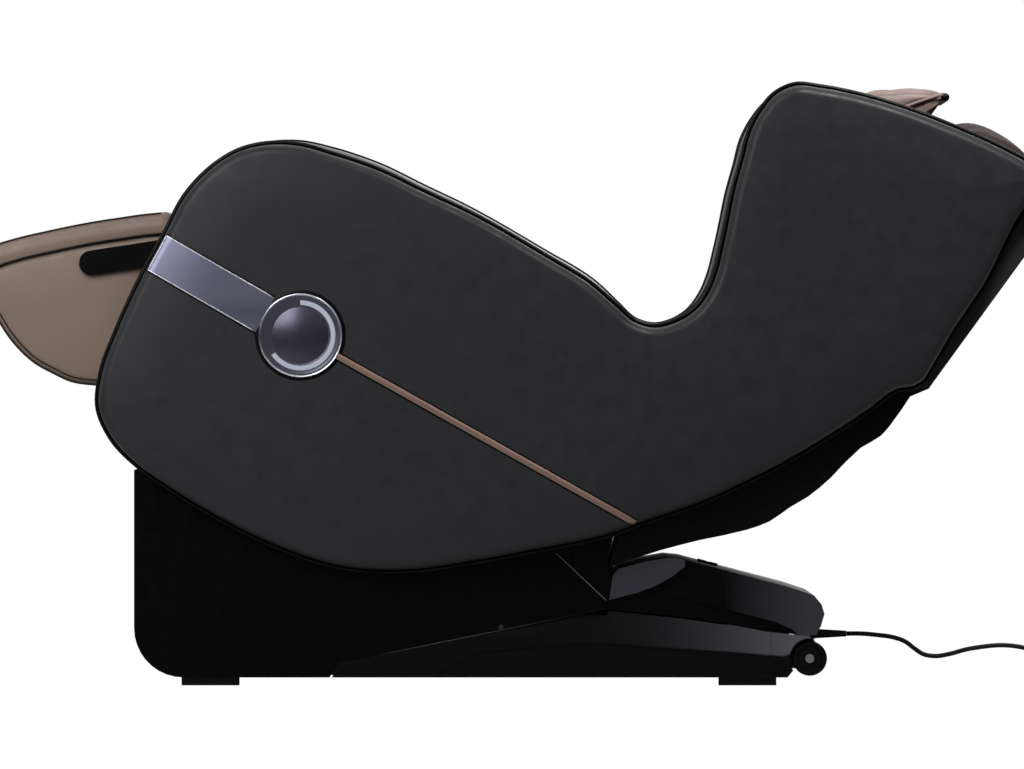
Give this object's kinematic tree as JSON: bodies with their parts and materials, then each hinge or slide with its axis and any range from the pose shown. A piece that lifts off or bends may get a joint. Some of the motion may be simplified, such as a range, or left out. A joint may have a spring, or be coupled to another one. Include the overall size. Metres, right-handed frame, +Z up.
{
  "type": "reclining massage chair",
  "caption": "Reclining massage chair with padded side wings, leg rest, tilting shell and a plinth base with transport wheels.",
  "frame": {"origin": "on the floor under the middle of the chair, in its middle plane", "axes": "+X from the feet towards the head, +Y across the chair, +Z up"},
  "size_m": [1.6342, 0.69, 0.8201],
  "materials": {
    "leather_black": "soft grain, satin",
    "leather_beige": "soft grain, satin",
    "piping": "rolled piping, satin",
    "plastic_black": "semi-gloss",
    "plastic_gloss": "gloss moulding",
    "steel_black": "powder coat",
    "steel_bright": "bright plated",
    "bronze": "sintered bronze",
    "rubber": "matte",
    "wheel_rubber": "matte",
    "roller_rubber": "matte",
    "anodised": "anodised, satin",
    "rose_gold": "satin plated",
    "light_diffuser": "translucent diffuser, unlit",
    "lamp_cap": "domed, gloss"
  },
  "bodies": {
    "base": {"base_frame": "steel_black", "bottom_tray": "plastic_black", "side_cover_l": "plastic_black", "side_cover_r": "plastic_black", "lower_cover_l": "plastic_gloss", "lower_cover_r": "plastic_gloss", "front_cover": "plastic_black", "rear_cover": "plastic_gloss", "feet": "rubber", "wheel_axle": "steel_bright", "control_box": "plastic_black", "pivot_bushes": "bronze", "cover_screws": "steel_bright", "strain_relief": "rubber", "power_cord": "rubber", "cord_coil": "rubber", "plug": "rubber"},
    "seat_body": {"seat_frame": "steel_black", "back_rails": "steel_black", "pivot_shaft": "steel_bright", "side_panel_l": "leather_black", "side_panel_r": "leather_black", "piping_l": "piping", "piping_r": "piping", "arm_bolster_l": "leather_black", "arm_bolster_r": "leather_black", "trim_strip_l": "anodised", "trim_strip_r": "anodised", "accent_line_l": "rose_gold", "accent_line_r": "rose_gold", "lamp_bezel_l": "anodised", "lamp_bezel_r": "anodised", "light_ring_l": "light_diffuser", "light_ring_r": "light_diffuser", "lamp_dome_l": "lamp_cap", "lamp_dome_r": "lamp_cap", "seat_cushion": "leather_beige", "back_cushion": "leather_beige", "head_pillow": "leather_beige", "back_shell": "plastic_gloss", "under_cover": "plastic_gloss"},
    "leg_rest": {"legrest_frame": "steel_black", "legrest_pad": "leather_beige", "legrest_shell": "leather_beige"},
    "tilt_drive": {"tilt_motor": "plastic_black"},
    "tilt_drive_rod": {"tilt_rod": "steel_bright"},
    "leg_drive": {"leg_motor": "plastic_black"},
    "leg_drive_rod": {"leg_rod": "steel_bright"},
    "carriage": {"massage_carriage": "steel_black"},
    "arm_left": {"kneading_arm_l": "steel_bright"},
    "arm_right": {"kneading_arm_r": "steel_bright"},
    "roller_upper_left": {"roller_upper_l": "roller_rubber"},
    "roller_upper_right": {"roller_upper_r": "roller_rubber"},
    "roller_lower_left": {"roller_lower_l": "roller_rubber"},
    "roller_lower_right": {"roller_lower_r": "roller_rubber"},
    "wheel_left": {"wheel_l": "wheel_rubber"},
    "wheel_right": {"wheel_r": "wheel_rubber"},
    "switch": {"power_switch": "plastic_black"}
  },
  "joints": [
    {"name": "body_tilt", "type": "hinge", "parent": "base", "child": "seat_body", "pos_m": [-0.1, 0, 0.25], "axis": [0, -1, 0], "range_deg": [0, 26]},
    {"name": "tilt_drive_swing", "type": "hinge", "parent": "base", "child": "tilt_drive", "pos_m": [0.31, 0, 0.1], "axis": [0, -1, 0], "range_deg": [0, 1.5]},
    {"name": "tilt_rod_slide", "type": "slide", "parent": "tilt_drive", "child": "tilt_drive_rod", "axis": [-0.9866, 0, 0.163], "range_m": [-0.0395, 0]},
    {"name": "legrest_tilt", "type": "hinge", "parent": "seat_body", "child": "leg_rest", "pos_m": [-0.432, 0, 0.572], "axis": [0, -1, 0], "range_deg": [0, 60]},
    {"name": "leg_drive_swing", "type": "hinge", "parent": "seat_body", "child": "leg_drive", "pos_m": [-0.2, 0, 0.36], "axis": [0, -1, 0], "range_deg": [0, 1.6]},
    {"name": "leg_rod_slide", "type": "slide", "parent": "leg_drive", "child": "leg_drive_rod", "axis": [-0.8128, 0, 0.5826], "range_m": [-0.0455, 0]},
    {"name": "carriage_travel", "type": "hinge", "parent": "seat_body", "child": "carriage", "pos_m": [-0.272, 0, 1.219], "axis": [0, -1, 0], "range_deg": [-8, 8]},
    {"name": "knead_left", "type": "hinge", "parent": "carriage", "child": "arm_left", "pos_m": [0.41849, 0, 0.46282], "axis": [0, -1, 0], "range_deg": [-8, 8]},
    {"name": "knead_right", "type": "hinge", "parent": "carriage", "child": "arm_right", "pos_m": [0.41849, 0, 0.46282], "axis": [0, -1, 0], "range_deg": [-8, 8]},
    {"name": "roller_upper_left_spin", "type": "hinge", "parent": "arm_left", "child": "roller_upper_left", "pos_m": [0.44943, 0, 0.52087], "axis": [0, -1, 0], "continuous": true},
    {"name": "roller_lower_left_spin", "type": "hinge", "parent": "arm_left", "child": "roller_lower_left", "pos_m": [0.35787, 0, 0.43726], "axis": [0, -1, 0], "continuous": true},
    {"name": "roller_upper_right_spin", "type": "hinge", "parent": "arm_right", "child": "roller_upper_right", "pos_m": [0.44943, 0, 0.52087], "axis": [0, -1, 0], "continuous": true},
    {"name": "roller_lower_right_spin", "type": "hinge", "parent": "arm_right", "child": "roller_lower_right", "pos_m": [0.35787, 0, 0.43726], "axis": [0, -1, 0], "continuous": true},
    {"name": "wheel_left_spin", "type": "hinge", "parent": "base", "child": "wheel_left", "pos_m": [0.385, 0, 0.0367], "axis": [0, -1, 0], "continuous": true},
    {"name": "wheel_right_spin", "type": "hinge", "parent": "base", "child": "wheel_right", "pos_m": [0.385, 0, 0.0367], "axis": [0, -1, 0], "continuous": true},
    {"name": "switch_rock", "type": "hinge", "parent": "base", "child": "switch", "pos_m": [0.25, 0, 0.161], "axis": [0, -1, 0], "range_deg": [-7, 7]}
  ],
  "couplings": [
    {"joint": "tilt_drive_swing", "follows": "body_tilt", "ratio": 0.052},
    {"joint": "tilt_rod_slide", "follows": "body_tilt", "m_per_rad": -0.086005},
    {"joint": "leg_drive_swing", "follows": "legrest_tilt", "ratio": 0.024},
    {"joint": "leg_rod_slide", "follows": "legrest_tilt", "m_per_rad": -0.042828},
    {"joint": "knead_right", "follows": "knead_left", "ratio": -1}
  ]
}
